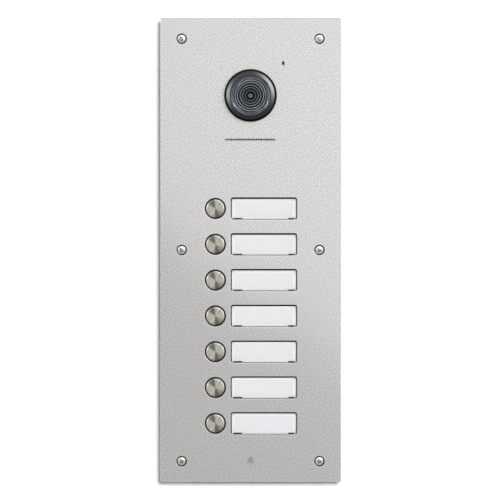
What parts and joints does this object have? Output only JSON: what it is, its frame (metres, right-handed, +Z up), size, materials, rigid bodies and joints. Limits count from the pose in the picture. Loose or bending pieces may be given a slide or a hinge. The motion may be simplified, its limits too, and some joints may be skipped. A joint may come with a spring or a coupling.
{
  "type": "door intercom panel",
  "caption": "Flush-mounted steel door intercom panel with a camera, speaker, microphone and a column of sprung call buttons beside clear name windows, on a recessed wall box.",
  "frame": {"origin": "centre of the back box's rear face, the face that beds against the back of the wall recess", "axes": "+Z up the panel, +X to the visitor's right, +Y into the wall; the front faces -Y"},
  "size_m": [0.14, 0.0583, 0.36],
  "materials": {
    "plate_steel": "fine satin-ground stainless steel sheet, slightly warm grey with faint mottling",
    "screw_steel": "bright stainless steel, lightly domed",
    "button_steel": "spun stainless steel, circular grain with a bright bevelled rim",
    "spring_steel": "bright drawn spring wire",
    "clear_cover": "clear moulded polycarbonate, glossy",
    "paper_label": "plain matt off-white paper",
    "black_plastic": "black moulded plastic, fine grain",
    "box_plastic": "dark grey moulded plastic, slightly rough",
    "foam_rubber": "black closed-cell rubber",
    "black_metal": "black anodised turned metal, satin",
    "lens_glass": "clear polished glass with a faint slate-blue coating",
    "circuit_board": "green solder mask over glass fibre, semi-gloss",
    "green_plastic": "green moulded plastic",
    "flat_cable": "pale grey ribbed flat cable",
    "round_cable": "black flexible sleeve",
    "speaker_steel": "pressed zinc-plated steel",
    "speaker_paper": "dark pressed fibre cone",
    "magnet": "dark sintered ferrite"
  },
  "bodies": {
    "panel": {"front_plate": "plate_steel", "fixing_screw_1": "screw_steel", "fixing_screw_2": "screw_steel", "fixing_screw_3": "screw_steel", "fixing_screw_4": "screw_steel", "fixing_screw_5": "screw_steel", "fixing_screw_6": "screw_steel", "button_spring_1": "spring_steel", "button_spring_2": "spring_steel", "button_spring_3": "spring_steel", "button_spring_4": "spring_steel", "button_spring_5": "spring_steel", "button_spring_6": "spring_steel", "button_spring_7": "spring_steel", "button_carrier": "black_plastic", "camera_can": "black_plastic", "camera_baffle": "black_plastic", "image_sensor": "black_plastic", "label_tray": "black_plastic", "back_box": "box_plastic", "plate_gasket": "foam_rubber", "cable_grommet": "foam_rubber", "speaker_gasket": "foam_rubber", "microphone_boot": "foam_rubber", "camera_bezel": "black_metal", "camera_nut": "black_metal", "camera_barrel": "black_metal", "camera_window": "lens_glass", "camera_lens": "lens_glass", "button_board": "circuit_board", "main_board": "circuit_board", "camera_board": "circuit_board", "terminal_block": "green_plastic", "ribbon_cable": "flat_cable", "camera_cable": "round_cable", "speaker_basket": "speaker_steel", "microphone_capsule": "speaker_steel", "speaker_cone": "speaker_paper", "speaker_magnet": "magnet"},
    "call_button_1": {"button_cap_1": "button_steel"},
    "call_button_2": {"button_cap_2": "button_steel"},
    "call_button_3": {"button_cap_3": "button_steel"},
    "call_button_4": {"button_cap_4": "button_steel"},
    "call_button_5": {"button_cap_5": "button_steel"},
    "call_button_6": {"button_cap_6": "button_steel"},
    "call_button_7": {"button_cap_7": "button_steel"},
    "name_window_1": {"name_cover_1": "clear_cover", "name_label_1": "paper_label"},
    "name_window_2": {"name_cover_2": "clear_cover", "name_label_2": "paper_label"},
    "name_window_3": {"name_cover_3": "clear_cover", "name_label_3": "paper_label"},
    "name_window_4": {"name_cover_4": "clear_cover", "name_label_4": "paper_label"},
    "name_window_5": {"name_cover_5": "clear_cover", "name_label_5": "paper_label"},
    "name_window_6": {"name_cover_6": "clear_cover", "name_label_6": "paper_label"},
    "name_window_7": {"name_cover_7": "clear_cover", "name_label_7": "paper_label"}
  },
  "joints": [
    {"name": "call_button_1_press", "type": "slide", "parent": "panel", "child": "call_button_1", "axis": [0, 1, 0], "range_m": [0, 0.0012], "stiffness_N_per_m": 900, "deforming": ["button_spring_1"]},
    {"name": "call_button_2_press", "type": "slide", "parent": "panel", "child": "call_button_2", "axis": [0, 1, 0], "range_m": [0, 0.0012], "stiffness_N_per_m": 900, "deforming": ["button_spring_2"]},
    {"name": "call_button_3_press", "type": "slide", "parent": "panel", "child": "call_button_3", "axis": [0, 1, 0], "range_m": [0, 0.0012], "stiffness_N_per_m": 900, "deforming": ["button_spring_3"]},
    {"name": "call_button_4_press", "type": "slide", "parent": "panel", "child": "call_button_4", "axis": [0, 1, 0], "range_m": [0, 0.0012], "stiffness_N_per_m": 900, "deforming": ["button_spring_4"]},
    {"name": "call_button_5_press", "type": "slide", "parent": "panel", "child": "call_button_5", "axis": [0, 1, 0], "range_m": [0, 0.0012], "stiffness_N_per_m": 900, "deforming": ["button_spring_5"]},
    {"name": "call_button_6_press", "type": "slide", "parent": "panel", "child": "call_button_6", "axis": [0, 1, 0], "range_m": [0, 0.0012], "stiffness_N_per_m": 900, "deforming": ["button_spring_6"]},
    {"name": "call_button_7_press", "type": "slide", "parent": "panel", "child": "call_button_7", "axis": [0, 1, 0], "range_m": [0, 0.0012], "stiffness_N_per_m": 900, "deforming": ["button_spring_7"]},
    {"name": "name_window_1_pull", "type": "slide", "parent": "panel", "child": "name_window_1", "axis": [0, -1, 0], "range_m": [0, 0.015]},
    {"name": "name_window_2_pull", "type": "slide", "parent": "panel", "child": "name_window_2", "axis": [0, -1, 0], "range_m": [0, 0.015]},
    {"name": "name_window_3_pull", "type": "slide", "parent": "panel", "child": "name_window_3", "axis": [0, -1, 0], "range_m": [0, 0.015]},
    {"name": "name_window_4_pull", "type": "slide", "parent": "panel", "child": "name_window_4", "axis": [0, -1, 0], "range_m": [0, 0.015]},
    {"name": "name_window_5_pull", "type": "slide", "parent": "panel", "child": "name_window_5", "axis": [0, -1, 0], "range_m": [0, 0.015]},
    {"name": "name_window_6_pull", "type": "slide", "parent": "panel", "child": "name_window_6", "axis": [0, -1, 0], "range_m": [0, 0.015]},
    {"name": "name_window_7_pull", "type": "slide", "parent": "panel", "child": "name_window_7", "axis": [0, -1, 0], "range_m": [0, 0.015]}
  ]
}
